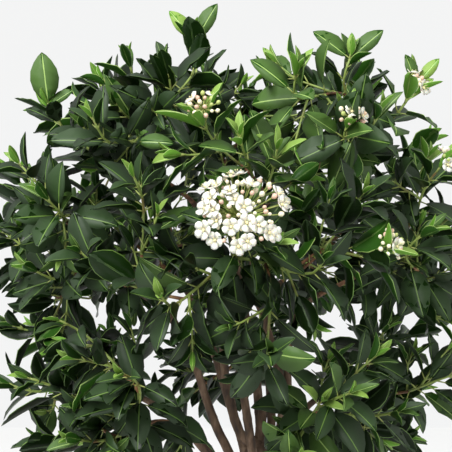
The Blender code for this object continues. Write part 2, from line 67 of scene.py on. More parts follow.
def toLinear(hexColour):
    # sRGB hex to linear rgba
    s = np.array([int(hexColour[i:i + 2], 16) for i in (1, 3, 5)]) / 255
    rgb = np.where(s <= 0.04045, s / 12.92, ((s + 0.055) / 1.055) ** 2.4)
    return (*rgb.tolist(), 1.0)


def newSkin(name):
    skin = bpy.data.materials.new(name)
    skin.use_nodes = True
    return skin, skin.node_tree, skin.node_tree.nodes["Principled BSDF"]


def addNode(tree, kind, values=None, links=None):
    # one node, with its settings by property or socket name and its links by socket name
    made = tree.nodes.new(kind)
    for key, value in (values or {}).items():
        if isinstance(key, str) and hasattr(made, key):
            setattr(made, key, value)
        else:
            made.inputs[key].default_value = value
    for key, source in (links or {}).items():
        tree.links.new(source, made.inputs[key])
    return made


def addRelief(tree, shader, place, grainMm, detail, strength, height):
    # noise with a grain of a real size, as bumps on the surface
    grain = addNode(tree, "ShaderNodeTexNoise", {"Scale": 1000 / grainMm, "Detail": detail},
                    {"Vector": place})
    relief = addNode(tree, "ShaderNodeBump", {"Strength": strength, "Distance": height},
                     {"Height": grain.outputs["Fac"]})
    tree.links.new(relief.outputs["Normal"], shader.inputs["Normal"])


def mottled(name, colours, stops, patchMm, grainMm, roughness, bump,
            stretch=(1, 1, 1), detail=4.0):
    # a rough natural surface: colour ramped over noise, and finer noise as relief. patchMm and
    # grainMm are real sizes, and the grain stands a third as high as it is wide
    skin, tree, shader = newSkin(name)
    place = addNode(tree, "ShaderNodeTexCoord")
    place = addNode(tree, "ShaderNodeMapping", {"Scale": stretch},
                    {"Vector": place.outputs["Object"]}).outputs["Vector"]
    patches = addNode(tree, "ShaderNodeTexNoise", {"Scale": 1000 / patchMm, "Detail": detail},
                      {"Vector": place})
    ramp = addNode(tree, "ShaderNodeValToRGB", links={"Fac": patches.outputs["Fac"]})
    while len(ramp.color_ramp.elements) < len(colours):
        ramp.color_ramp.elements.new(0.5)
    for element, stop, colour in zip(ramp.color_ramp.elements, stops, colours):
        element.position = stop
        element.color = toLinear(colour)
    tree.links.new(ramp.outputs["Color"], shader.inputs["Base Color"])
    addRelief(tree, shader, place, grainMm, 3.0, bump, grainMm / 3000)
    shader.inputs["Roughness"].default_value = roughness
    return skin


def tissue(name, colour, roughness, cellMm, bump, height, finish):
    # living tissue: one plain colour under fine relief, and the sockets named in finish
    skin, tree, shader = newSkin(name)
    place = addNode(tree, "ShaderNodeTexCoord").outputs["Object"]
    addRelief(tree, shader, place, cellMm, 2.0, bump, height)
    for socket, value in {"Base Color": toLinear(colour), "Roughness": roughness, **finish}.items():
        shader.inputs[socket].default_value = value
    return skin


def waxyLeaf(name, colour, roughness, wax):
    # leaf blade under a waxy cuticle: dark, smooth and softly glossy, with the faint quilting
    # of its side veins, about 4 mm apart
    return tissue(name, colour, roughness, cellMm=4.0, bump=0.35, height=0.0006, finish={
        "Coat Weight": wax, "Coat Roughness": 0.20, "Specular IOR Level": 0.12})


def softSkin(name, colour, roughness, glow=0.0):
    # petals, buds, veins and undersides: soft and matt. Their cells are finer than a tenth of
    # a millimetre, and are drawn at 0.8 mm so that they show at all
    return tissue(name, colour, roughness, cellMm=0.8, bump=0.15, height=0.0002, finish={
        "Subsurface Weight": glow, "Subsurface Scale": 0.001})


leafTones = {
    # from old to young: upper side, its roughness and wax, rim and midrib, underside
    "dark": ("#0c1b05", 0.34, 0.08, "#52702f", "#1d3312"),
    "mid": ("#142a09", 0.34, 0.08, "#5f7d36", "#253e17"),
    "light": ("#254812", 0.36, 0.08, "#93b05e", "#40601f"),
    "young": ("#5d8a30", 0.42, 0.06, "#b3cb80", "#7fa043"),
}
# every blade has a thin pale line for rim and midrib, and a duller and paler underside
leafSkins = {tone: [waxyLeaf(f"leaf blade, {tone}", blade, rough, wax),
                    softSkin(f"leaf vein, {tone} leaves", vein, 0.5),
                    softSkin(f"leaf underside, {tone} leaves", back, 0.6)]
             for tone, (blade, rough, wax, vein, back) in leafTones.items()}
# weathered bark of the old wood: grey-brown, matt, with grain drawn out along the stem
oldBark = mottled("laurustinus bark, old wood", ("#2c2018", "#54402f", "#7c6754"),
                  (0.3, 0.52, 0.72), patchMm=7.0, grainMm=1.6, roughness=0.82, bump=0.7,
                  stretch=(1, 1, 0.35))
# last year's wood: smoother and redder
brownBark = mottled("laurustinus bark, last year's twigs", ("#4a2d1d", "#7d5636", "#8d7148"),
                    (0.3, 0.55, 0.75), patchMm=6.0, grainMm=1.0, roughness=0.62, bump=0.4)
# this year's shoots: green that turns brown in patches
greenBark = mottled("green shoot, this year's growth", ("#6f4a2c", "#7d8f45", "#93a854"),
                    (0.26, 0.44, 0.7), patchMm=14.0, grainMm=1.0, roughness=0.5, bump=0.25)
petioleGreen = softSkin("leaf stalk", "#8f9a50", 0.5)
# thin petals: warm white, matt, with a little light let through
petalWhite = softSkin("petal, open white flower", "#f5f0e2", 0.55, 0.15)
stamenCream = softSkin("stamen and flower centre", "#ece2ae", 0.6)
# closed buds: cream, some flushed with pink, the youngest green
budCream = softSkin("flower bud, cream", "#e9e2c4", 0.5, 0.1)
budPink = softSkin("flower bud, pinkish", "#d9b7a2", 0.5, 0.1)
budGreen = softSkin("young flower bud, green", "#a9b56a", 0.5)
# thrown and fired clay without a glaze: matt orange-brown, clouded by paler bloom
clay = mottled("terracotta, thrown and fired unglazed",
               ("#8d4a2f", "#b0633f", "#bd7552", "#c99a80"), (0.25, 0.45, 0.62, 0.85),
               patchMm=60.0, grainMm=1.2, roughness=0.86, bump=0.35, detail=6.0)
# moist compost: dark and crumbly, with no shine
compost = mottled("potting compost, moist", ("#150e09", "#2c1e14", "#4a3524"), (0.35, 0.5, 0.7),
                  patchMm=5.0, grainMm=2.0, roughness=0.95, bump=0.9)
studioFloor = mottled("studio floor, matt paint", ("#f7f7f6", "#f9f9f8"), (0.3, 0.7),
                      patchMm=400.0, grainMm=3.0, roughness=0.9, bump=0.02)
print("materials made")


def addPiece(name, points, loops, sizes, skins, slots=None, slotName="foliage"):
    # a mesh from flat arrays: corners, each face's corner numbers in turn, faces' sizes
    mesh = bpy.data.meshes.new(name)
    mesh.vertices.add(len(points))
    mesh.vertices.foreach_set("co", np.asarray(points, np.float32).ravel())
    mesh.loops.add(len(loops))
    mesh.loops.foreach_set("vertex_index", np.asarray(loops, np.int32))
    mesh.polygons.add(len(sizes))
    starts = np.concatenate(([0], np.cumsum(sizes)[:-1]))
    mesh.polygons.foreach_set("loop_start", starts.astype(np.int32))
    for skin in skins:
        mesh.materials.append(skin)
    if slots is not None:
        mesh.polygons.foreach_set("material_index", np.asarray(slots, np.int32))
    mesh.polygons.foreach_set("use_smooth", np.full(len(sizes), True))
    mesh.update(calc_edges=True)
    mesh.validate()
    piece = bpy.data.objects.new(name, mesh)
    bpy.context.scene.collection.objects.link(piece)
    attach(piece, "root")
    return piece


def ringQuads(rows, sides):
    # four corners (i, j), (i, j+1), (i+1, j+1), (i+1, j) for every cell between closed rings
    i, j = np.meshgrid(np.arange(rows - 1), np.arange(sides), indexing="ij")
    k = (j + 1) % sides
    near, far = i * sides, (i + 1) * sides
    return np.stack((near + j, near + k, far + k, far + j), axis=-1)


def sweep(path, radii, sides):
    # path(s) + radius(s, a) * (n(s) cos a + b(s) sin a), with n carried along the path
    # without twist. Returns corners, corner numbers and face sizes, with both ends capped
    path, radii = np.asarray(path, float), np.asarray(radii, float)
    if radii.ndim == 1:
        radii = np.repeat(radii[:, None], sides, axis=1)
    rows = len(path)
    along = unit(np.gradient(path, axis=0))
    normals = np.empty((rows, 3))
    normals[0] = squarePair(along[0])[0]
    for i in range(1, rows):
        normals[i] = squareTo(normals[i - 1], along[i])
    third = np.cross(along, normals)
    a = np.linspace(0, fullTurn, sides, endpoint=False)
    ring = np.cos(a)[None, :, None] * normals[:, None] + np.sin(a)[None, :, None] * third[:, None]
    points = (path[:, None] + radii[..., None] * ring).reshape(-1, 3)
    first = np.arange(sides)[::-1]
    last = np.arange(sides) + (rows - 1) * sides
    loops = np.concatenate((ringQuads(rows, sides).ravel(), first, last))
    sizes = np.concatenate((np.full((rows - 1) * sides, 4), [sides, sides]))
    return points, loops, sizes


def closedRings(rows, sides):
    # rings from the first end point out, down and back to the last: quads between them and a
    # fan to each end point. The end points follow the rings in the list of corners
    quads = ringQuads(rows, sides)[..., [0, 3, 2, 1]]
    j = np.arange(sides)
    k = (j + 1) % sides
    firstEnd, last = rows * sides, (rows - 1) * sides
    firstFan = np.stack((np.full(sides, firstEnd), j, k), axis=-1)
    lastFan = np.stack((np.full(sides, firstEnd + 1), last + k, last + j), axis=-1)
    loops = np.concatenate((quads.ravel(), firstFan.ravel(), lastFan.ravel()))
    return loops, np.concatenate((np.full((rows - 1) * sides, 4), np.full(2 * sides, 3)))


def joined(parts):
    points, loops, sizes, offset = [], [], [], 0
    for somePoints, someLoops, someSizes in parts:
        points.append(somePoints)
        loops.append(someLoops + offset)
        sizes.append(someSizes)
        offset += len(somePoints)
    return np.concatenate(points), np.concatenate(loops), np.concatenate(sizes)


def tubesPiece(name, tubes, sides, skin, slotName="foliage"):
    swept = [sweep(path, radii, sides) for path, radii in tubes]
    return addPiece(name, *joined(swept), [skin], slotName=slotName)


# how the plant grows: the rule of the part's source, written again, so that every twig and
# leaf stands where the part has its own
stem = dict(tip=np.array((0.021, -0.016, 0.757)), sway=0.006, footRadius=0.0082, topRadius=0.0062,
            tipRadius=0.0040, fork=0.100, flare=0.0050, flareHeight=0.016, soilTop=0.220,
            keepOut=0.0092)
crown = dict(middle=np.array((-0.008, 0.0, 0.875)), radius=0.225, rise=0.218, drop=0.225,
             square=2.5, lobes=0.035, lobeTurn=0.6)
rings = (
    # names from the bearing on, height of the first fork, and reach and height of tip and heart
    dict(names=("low_right_front", "low_right", "low_rear", "low_left", "low_left_front"),
         bearing=-54.0, leaves=0.656, tip=(0.088, 0.758), heart=(0.132, 0.768)),
    dict(names=("middle_front", "middle_right", "middle_right_rear", "middle_left_rear",
                "middle_left"),
         bearing=-90.0, leaves=0.688, tip=(0.080, 0.860), heart=(0.150, 0.900)),
    dict(names=("top_right", "top_rear", "top_left"),
         bearing=-30.0, leaves=0.722, tip=(0.036, 0.940), heart=(0.075, 1.020)),
)
ringSteps = (0.0, 0.0168, 0.0056, 0.0224, 0.0112)
bough = dict(radius=0.0042, tipRadius=0.0024, rise=0.9, bow=0.35, collar=0.003, gap=0.0003, knots=6)
shoot = dict(seed=50, tips=83, lowest=-0.70, inset=0.022, spread=0.022, scatter=0.005,
             spacing=0.036, headShare=0.12, smallHead=0.009, upturn=0.55, upturnHigh=0.45,
             radius=0.0021, tipRadius=0.0012, bows=(0.36, 0.18, 0.02), clearance=0.0012,
             turnCost=0.6, sharpest=1.2, pull=0.4, knots=4, points=12, rootDepth=0.004,
             softTip=(0.006, 0.012))
markedTips = (
    # across, back and up from the crown's middle, radius of the flower head
    (0.005, -0.188, 0.058, 0.036), (-0.029, -0.060, 0.192, 0.0), (-0.147, -0.060, 0.140, 0.0),
    (0.095, -0.070, 0.178, 0.0), (-0.020, -0.150, 0.135, 0.011), (0.087, -0.150, 0.128, 0.011),
    (0.150, -0.060, 0.158, 0.009), (0.112, -0.165, 0.036, 0.011),
)


def bend(start, leaving, end, arriving, bow, count):
    # cubic Bezier from start to end, each handle a share of the span
    span = np.linalg.norm(end - start)
    t = np.linspace(0.0, 1.0, count)[:, None]
    near, far = start + leaving * span * bow, end - arriving * span * bow
    return ((1 - t) ** 3 * start + 3 * (1 - t) ** 2 * t * near
            + 3 * (1 - t) * t**2 * far + t**3 * end)


def distanceToPath(points, path):
    # from each point to the nearest of the path's straight pieces
    start, run = path[:-1], np.diff(path, axis=0)
    reach = points[:, None, :] - start[None]
    share = np.clip((reach * run).sum(2) / (run * run).sum(1), 0.0, 1.0)
    return np.linalg.norm(reach - share[..., None] * run, axis=2).min(1)


def stemLine(heights):
    # straight lean to the tip plus one sine of sway
    foot = stem["soilTop"] + bough["gap"]
    heights = np.asarray(heights, float)
    share = (heights - foot) / (stem["tip"][2] - foot)
    x = stem["tip"][0] * share + stem["sway"] * np.sin(fullTurn * share)
    y = stem["tip"][1] * share + stem["sway"] / 2 * np.sin(math.pi * share)
    return np.stack((x, y, heights), axis=-1)


def stemThick(heights):
    # slow taper to the fork, quicker past it, and an exponential flare at the root
    above = np.asarray(heights, float) - stem["soilTop"] - bough["gap"]
    clear = stem["tip"][2] - stem["fork"] - stem["soilTop"]
    slow = (stem["topRadius"] - stem["footRadius"]) * np.clip(above / clear, 0.0, 1.0)
    past = np.clip((above - clear) / stem["fork"], 0.0, 1.0)
    quick = (stem["tipRadius"] - stem["topRadius"]) * past
    flare = stem["flare"] * np.exp(-np.maximum(above, -0.004) / stem["flareHeight"])
    return stem["footRadius"] + slow + quick + flare


def boughPlan():
    plan = []
    for ring in rings:
        for i, name in enumerate(ring["names"]):
            turn = math.radians(ring["bearing"] + 360.0 * i / len(ring["names"]))
            out = np.array((math.cos(turn), math.sin(turn), 0.0))
            leaves = ring["leaves"] + ringSteps[i]
            below, axis, above = stemLine(leaves + bough["radius"] * np.array((-1, 0, 1)))
            square = squareTo(out, unit(above - below))
            start = axis + square * (float(stemThick(leaves)) + bough["gap"])
            tip, heart = (crown["middle"] * level + out * reach + up * height
                          for reach, height in (ring["tip"], ring["heart"]))
            arriving = unit(unit(heart - tip) + out + up / 2)
            path = bend(start + square * bough["collar"], unit(out + bough["rise"] * up), tip,
                        arriving, bough["bow"], bough["knots"])
            end = tip + arriving * bough["collar"]
            path = np.concatenate((start[None], path, end[None]))
            plan.append(dict(name=name, axis=axis, path=path, heart=heart, end=end,
                             arriving=arriving))
    return plan


def outlineReach(direction):
    # superellipse round the middle, times a slow three-lobed swell
    rise = crown["rise"] if direction[2] > 0 else crown["drop"]
    flat = math.hypot(direction[0], direction[1]) / crown["radius"]
    high = abs(direction[2]) / rise
    even = (flat ** crown["square"] + high ** crown["square"]) ** (-1 / crown["square"])
    turn = math.atan2(direction[1], direction[0])
    swell = crown["lobes"] * math.sin(3 * turn + crown["lobeTurn"]) * math.cos(2 * direction[2])
    return even * (1 + swell)


def shootTips(rng):
    # the marked tips, then a golden-angle spiral of tips a little inside the outline
    tips = [(crown["middle"] + np.array(tip[:3]), tip[3]) for tip in markedTips]
    for k in range(shoot["tips"]):
        rise = 1 - (1 - shoot["lowest"]) * (k + 0.5) / shoot["tips"]
        turn = k * goldenAngle
        flat = math.sqrt(1 - rise * rise)
        direction = np.array((flat * math.cos(turn), flat * math.sin(turn), rise))
        depth = shoot["inset"] + shoot["spread"] * rng.random()
        tip = crown["middle"] + direction * (outlineReach(direction) - depth)
        tip = tip + rng.normal(0.0, shoot["scatter"], 3)
        head = shoot["smallHead"] if rng.random() < shoot["headShare"] else 0.0
        if all(np.linalg.norm(tip - other) > shoot["spacing"] for other, _ in tips):
            tips.append((tip, head))
    return tips


def growingWay(point):
    # away from the crown's middle and upwards, more so near the top
    away = unit(point - crown["middle"])
    lift = shoot["upturn"] + shoot["upturnHigh"] * max(away[2], 0.0)
    return unit(away * (level + up / 2) + up * lift)


def inSpace(points, number, margin):
    # nearer to its own heart than to any other
    others = np.delete(hearts, number, axis=0)
    normals = unit(hearts[number] - others)
    points = np.atleast_2d(points)
    inward = ((points[:, None, :] - (others + hearts[number])[None] / 2) * normals[None]).sum(2)
    return bool((inward > margin).all())


def clearOfLimbs(points, margin):
    return all(distanceToPath(points, path).min() >= radius + margin for path, radius in limbs)


def cheapestStart(shoots, tip):
    # the knot from which a side shoot reaches the tip with the least length and turning
    best = None
    for grown in shoots:
        path = grown["knots"]
        for j in range(1, len(path) - 1):
            along = unit(path[j + 1] - path[j - 1])
            way = tip - path[j]
            length = np.linalg.norm(way)
            turn = 1 - float(along @ way) / length
            cost = length * (1 + shoot["turnCost"] * turn)
            if turn < shoot["sharpest"] and (best is None or cost < best[0]):
                best = (cost, path[j], unit(shoot["pull"] * along + unit(way)), grown["radii"][j])
    return best[1:] if best else None


def growShoots(limb, tips, number):
    # knots are the part's own points, path is the same bend with more of them
    root = limb["end"] + limb["arriving"] * bough["gap"]
    onward = [float(unit(tip - root) @ limb["arriving"]) for tip, _ in tips]
    first = int(np.argmax(onward))
    rest = [i for i in range(len(tips)) if i != first]
    rest.sort(key=lambda i: np.linalg.norm(tips[i][0] - root))
    grown = []
    for i in [first, *rest]:
        tip, head = tips[i]
        start = cheapestStart(grown, tip) if grown else (root, limb["arriving"], bough["tipRadius"])
        if start is None:
            continue
        foot, leaving, thick = start
        for bow in shoot["bows"]:
            knots = bend(foot, leaving, tip, growingWay(tip), bow, shoot["knots"])
            margin = thick + shoot["clearance"]
            clear = clearOfLimbs(knots if grown else knots[1:], margin)
            if clear and inSpace(knots, number, margin):
                path = bend(foot, leaving, tip, growingWay(tip), bow, shoot["points"])
                if not grown:
                    knots[0] = root + limb["arriving"] * bough["collar"]
                    knots = np.concatenate((root[None], knots))
                    sunk = root - limb["arriving"] * shoot["rootDepth"]
                    path = np.concatenate((sunk[None], path[1:]))
                # this year's soft tip, past the last knot, where the part has one long leaf
                soft = [tip + growingWay(tip) * reach for reach in shoot["softTip"]]
                thick = min(thick, shoot["radius"])
                radii = np.linspace(thick, shoot["tipRadius"], len(knots))
                grown.append(dict(knots=knots, radii=radii, path=np.concatenate((path, soft)),
                                  head=head, tip=tip, thick=thick))
                break
    return grown


plan = boughPlan()
hearts = np.array([limb["heart"] for limb in plan])
stemHeights = np.linspace(stem["soilTop"] + 0.001, stem["tip"][2], 14)
limbs = [(stemLine(stemHeights), stem["keepOut"])]
limbs += [(limb["path"], bough["radius"]) for limb in plan]
tips = shootTips(np.random.default_rng(shoot["seed"]))
owners = [int(np.linalg.norm(hearts - tip, axis=1).argmin()) for tip, _ in tips]
sprays = []
for number, limb in enumerate(plan):
    own = [tip for tip, owner in zip(tips, owners) if owner == number]
    for grown in growShoots(limb, own, number):
        sprays.append(dict(grown, number=number))
print("shoots grown:", len(sprays))


bark = dict(
    seed=7, rowLength=0.0035, trunkSides=32, boughSides=18,
    ridges=9, ridgeDepth=0.045, ridgeDrift=45, ridgeBeat=(20, 90), lumps=0.05, lumpBeat=(60, 90),
    nodeFirst=(0.01, 0.04), nodeEvery=(0.035, 0.055), nodeRise=0.10, nodeWidth=0.0022,
    ribs=5, ribRise=0.10, ribFade=0.02,  # the roots' ribs at the trunk's foot
    rowNoise=0.105, axisSwell=1.15, footSwell=1.12,  # boughs are a little over the part's own
    # heights of the trunk's rows: close together in the flare, wider above
    flareRows=(0.217, 0.262, 12), upperRows=(0.27, 40),
)


def pathLength(path):
    return float(np.linalg.norm(np.diff(path, axis=0), axis=1).sum())


def smoothed(path, radii, rows):
    # even steps along the length, on cubic Hermite pieces between the points
    steps = np.linalg.norm(np.diff(path, axis=0), axis=1)
    run = np.concatenate(([0.0], np.cumsum(steps)))
    s = np.linspace(0.0, run[-1], rows)
    slopes = np.gradient(path, run, axis=0)
    k = np.clip(np.searchsorted(run, s, side="right") - 1, 0, len(steps) - 1)
    h = steps[k]
    t = ((s - run[k]) / h)[:, None]
    p, q, m, n = path[k], path[k + 1], slopes[k] * h[:, None], slopes[k + 1] * h[:, None]
    fine = ((2 * t**3 - 3 * t**2 + 1) * p + (t**3 - 2 * t**2 + t) * m
            + (3 * t**2 - 2 * t**3) * q + (t**3 - t**2) * n)
    return fine, np.interp(s, run, radii), s


def barked(path, radii, sides, rng, ribbed=False):
    # radius(s, a) = r(s) * (1 + narrow lengthwise ridges + slow lumps + rings at old nodes
    # + ribs that fade up from the root)
    rows = max(int(pathLength(path) / bark["rowLength"]), 12)
    fine, thick, s = smoothed(path, radii, rows)
    a = np.linspace(0, fullTurn, sides, endpoint=False)[None]
    s = s[:, None]
    relief = np.zeros((rows, sides))
    for _ in range(bark["ridges"]):
        waves = rng.integers(2, 8)
        drift, phase = rng.normal(0, bark["ridgeDrift"]), rng.uniform(0, anyPhase)
        beat = rng.uniform(*bark["ridgeBeat"])
        ridge = bark["ridgeDepth"] / 3 * np.cos(waves * a + drift * s + phase)
        relief += ridge * np.cos(beat * s + phase * 2)
    beat, phase, turn = (rng.uniform(*span) for span in (bark["lumpBeat"], (0, 6), (0, 6)))
    relief += bark["lumps"] / 2 * np.sin(beat * s + phase) * np.cos(a + turn)
    nodesAt = np.arange(rng.uniform(*bark["nodeFirst"]), float(s[-1, 0]),
                        rng.uniform(*bark["nodeEvery"]))
    for at in nodesAt:
        relief += bark["nodeRise"] * np.exp(-((s - at) / bark["nodeWidth"]) ** 2)
    if ribbed:
        fade = bark["ribRise"] * np.exp(-s / bark["ribFade"])
        relief += fade * np.cos(bark["ribs"] * a + 1.0)
    relief *= 1 + bark["rowNoise"] * rng.normal(0, 1, (rows, 1))
    return sweep(fine, thick[:, None] * (1 + relief), sides)


barkRng = np.random.default_rng(bark["seed"])
trunkStart, trunkRows = bark["upperRows"]
trunkHeights = np.concatenate((np.linspace(*bark["flareRows"]),
                               np.linspace(trunkStart, stem["tip"][2], trunkRows)))
trunkShape = barked(stemLine(trunkHeights), stemThick(trunkHeights), bark["trunkSides"],
                    barkRng, ribbed=True)
trunkBark = addPiece("trunkBark", *trunkShape, [oldBark], slotName="bark")
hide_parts("trunk")
boughParts = []
for limb in plan:
    path = np.concatenate((limb["axis"][None], limb["path"]))
    taper = np.linspace(bough["radius"] * bark["footSwell"], bough["tipRadius"], len(path) - 1)
    radii = np.concatenate(([bough["radius"] * bark["axisSwell"]], taper))
    boughParts.append(barked(path, radii, bark["boughSides"], barkRng))
boughBark = addPiece("boughBark", *joined(boughParts), [oldBark], slotName="bark")
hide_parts(*["bough_" + limb["name"] for limb in plan])
print("trunk and boughs")


twigLook = dict(
    seed=21, toneShares=(0.42, 0.38, 0.20), sidesOld=7, sidesGreen=5, greenLength=0.065,
    greenThin=0.97, tipRadius=0.0009, rowLength=0.008, nodeSwell=0.16, nodeEvery=0.014,
    # side twigs: where along a shoot, how long, and how they leave it
    sideFrom=0.040, sideTo=0.17, sideEvery=0.026, everyRange=(0.8, 1.25), footGap=0.01,
    bareFoot=0.004, sideLength=(0.034, 0.062), sideAngle=0.95, sideTurn=2.4,
    swings=(0.0, 0.8, -0.8, 1.6), lift=0.15, bow=0.33, upturn=0.7, apart=0.017, inset=0.026,
    margin=0.004, thick=0.0011, sideTipRadius=0.0007,
)
twigRng = np.random.default_rng(twigLook["seed"])


def walkBack(path, distance):
    # the point at a distance from the tip, and the way the path runs there
    steps = np.linalg.norm(np.diff(path, axis=0), axis=1)
    run = np.concatenate(([0.0], np.cumsum(steps)))
    at = run[-1] - distance
    if at < twigLook["bareFoot"]:
        return None
    j = min(max(int(np.searchsorted(run, at)), 1), len(path) - 1)
    share = (at - run[j - 1]) / steps[j - 1]
    return path[j - 1] + share * (path[j] - path[j - 1]), unit(path[j] - path[j - 1])


def sideTwig(spray, point, along, turn):
    # one try at a side twig from a point on a shoot: None if it would crowd or stick out
    out = turned(*squarePair(along), turn)
    reach = twigRng.uniform(*twigLook["sideLength"])
    way = unit(along * math.cos(twigLook["sideAngle"]) + out * math.sin(twigLook["sideAngle"])
               + up * twigLook["lift"])
    tip = point + way * reach
    away = tip - crown["middle"]
    far = np.linalg.norm(away)
    crowded = min(np.linalg.norm(tip - twig["path"][-1]) for twig in twigs) <= twigLook["apart"]
    outside = far >= outlineReach(away / far) - twigLook["inset"]
    if crowded or outside or not inSpace(tip, spray["number"], twigLook["margin"]):
        return None
    arriving = unit(way + growingWay(tip) * twigLook["upturn"])
    path = bend(point, way, tip, arriving, twigLook["bow"], 7)
    if not clearOfLimbs(path[1:], twigLook["margin"]):
        return None
    return dict(path=path, head=0.0, thick=twigLook["thick"], number=spray["number"], turn=turn,
                tone=spray["tone"], main=False, length=reach)


twigs = []
for spray in sprays:
    spray["turn"] = twigRng.uniform(0, math.pi)
    spray["tone"] = int(twigRng.choice(3, p=twigLook["toneShares"]))
    twigs.append(dict(spray, main=True, length=pathLength(spray["path"])))
for spray in sprays:
    length = pathLength(spray["path"])
    distance, k = twigLook["sideFrom"], 0
    while distance < min(length - twigLook["footGap"], twigLook["sideTo"]):
        point, along = walkBack(spray["path"], distance)
        for swing in twigLook["swings"]:
            twig = sideTwig(spray, point, along, spray["turn"] + k * twigLook["sideTurn"] + swing)
            if twig:
                twigs.append(twig)
                break
        distance += twigLook["sideEvery"] * twigRng.uniform(*twigLook["everyRange"])
        k += 1
oldTubes, greenTubes = [], []
for twig in twigs:
    path, length = twig["path"], twig["length"]
    end = twigLook["tipRadius"] if twig["main"] else twigLook["sideTipRadius"]
    rows = max(int(length / twigLook["rowLength"]), 5)
    fine, thick, s = smoothed(path, np.linspace(twig["thick"], end, len(path)), rows)
    # a short swelling at each pair of leaves: cos^8 is narrow
    atNodes = np.cos(s / twigLook["nodeEvery"] * fullTurn) ** 8
    thick = thick * (1 + twigLook["nodeSwell"] * atNodes)
    green = int(np.searchsorted(s, length - twigLook["greenLength"]))
    if green > 2:
        oldTubes.append((fine[:green + 1], thick[:green + 1]))
        greenTubes.append((fine[green:], thick[green:] * twigLook["greenThin"]))
    else:
        greenTubes.append((fine, thick))
twigsOld = tubesPiece("twigsBrown", oldTubes, twigLook["sidesOld"], brownBark)
twigsGreen = tubesPiece("twigsGreen", greenTubes, twigLook["sidesGreen"], greenBark)
print("twigs:", len(twigs))


leaf = dict(
    seed=33, fullLength=0.047, width=0.44, lengthRange=(0.86, 1.12), widthRange=(0.88, 1.12),
    pairs=9, sidePairs=4, firstPair=0.0015, firstUnderHead=0.012, newGrowth=0.55,
    # step from pair to pair: a length, times a share that grows with age, times a range
    pairStep=0.0140, stepYoung=0.55, stepMore=0.16, stepRange=(0.85, 1.15),
    # by age from the tip: share of full length, angle off the shoot in degrees
    ages=((0.42, 16), (0.66, 30), (0.86, 44), (0.98, 54), (1.05, 62), (1.05, 68), (1.02, 73),
          (1.0, 78), (0.95, 82)),
    tries=6, swing=0.12, swingMore=0.25, angleScatter=6, angleLess=3,
    droop=0.07, droopRange=(0.4, 1.6), faceUp=0.25, faceUpMore=0.12, arch=(0.05, 0.30),
    fold=(0.25, 0.5), youngFold=0.35, youngWidth=0.85, ripple=0.03, ripples=2.2,
    otherTone=0.18, sideShare=0.88, apart=0.0085, overlap=0.006, limbGap=0.002,
    petiole=0.007, petioleRange=(0.8, 1.2), petioleRadius=0.0006,
    thick=0.00045, groove=0.00025, archShorten=0.35,
)
leafRng = np.random.default_rng(leaf["seed"])

# one blade: 6 rows of 8 points over the upper side and one under the midrib, and a point
# at root and tip. v runs from rim to rim, u from root to tip
leafU = np.array((0.10, 0.26, 0.44, 0.62, 0.79, 0.92))
leafV = np.array((-1.0, -0.93, -0.50, -0.055, 0.055, 0.50, 0.93, 1.0))
gridU = np.concatenate((np.repeat(leafU, 9), (0.0, 1.0)))
gridV = np.concatenate((np.tile(np.append(leafV, 0.0), 6), (0.0, 0.0)))
under = np.concatenate((np.tile(np.append(np.zeros(8), 1.0), 6), (0.0, 0.0)))
rootPoint, tipPoint, lastRow, bladeCorners = 54, 55, 45, 56
stripSlots = [1 if c in (0, 3, 6) else 0 for c in range(7)]  # rim, blade, midrib, blade, rim
bladeFaces, bladeSlots = [], []
for row in range(5):
    a, b = row * 9, (row + 1) * 9
    bladeFaces += [(a + c + 1, b + c + 1, b + c, a + c) for c in range(7)]
    bladeFaces += [(a + 8, b + 8, b + 7, a + 7), (a, b, b + 8, a + 8)]
    bladeSlots += [*stripSlots, 2, 2]
for c in range(7):
    bladeFaces += [(c + 1, c, rootPoint), (lastRow + c + 1, tipPoint, lastRow + c)]
    bladeSlots += [stripSlots[c]] * 2
bladeFaces += [(8, 7, rootPoint), (0, 8, rootPoint)]
bladeFaces += [(lastRow + 8, tipPoint, lastRow + 7), (lastRow, tipPoint, lastRow + 8)]
bladeSlots += [2, 2, 2, 2]
bladeLoops = np.concatenate(bladeFaces)
bladeSizes = np.array([len(face) for face in bladeFaces])


def bladePoints(leaves):
    # half width w(u) = W/2 * (4u(1-u))^0.75 * (1.12 - 0.42 u^3): elliptic, drawn out to a point.
    # y = v w cos(fold |v|), z = |v| w sin(fold |v|) - arch L u^2 + ripple + midrib groove
    length, width, fold, arch, ripple, phase = (
        np.array([one[k] for one in leaves])[:, None]
        for k in ("length", "width", "fold", "arch", "ripple", "phase"))
    u, v = gridU[None], gridV[None]
    half = width / 2 * (4 * u * (1 - u)) ** 0.75 * (1.12 - 0.42 * u**3)
    x = length * (u - leaf["archShorten"] * arch * u**3 * 2)
    y = v * half * np.cos(fold * np.abs(v))
    z = np.abs(v) * half * np.sin(fold * np.abs(v)) - length * (arch * u**2)
    z = z + ripple * length * v**2 * np.sin(fullTurn * leaf["ripples"] * u + phase + v)
    groove = leaf["groove"] * (np.abs(v) < 0.1) * (1 - under[None]) * np.sin(math.pi * u)
    z = z - leaf["thick"] * under[None] - groove
    roots, along, normal = (np.array([one[k] for one in leaves])[:, None]
                            for k in ("root", "along", "normal"))
    across = np.cross(normal, along)
    return roots + x[..., None] * along + y[..., None] * across + z[..., None] * normal


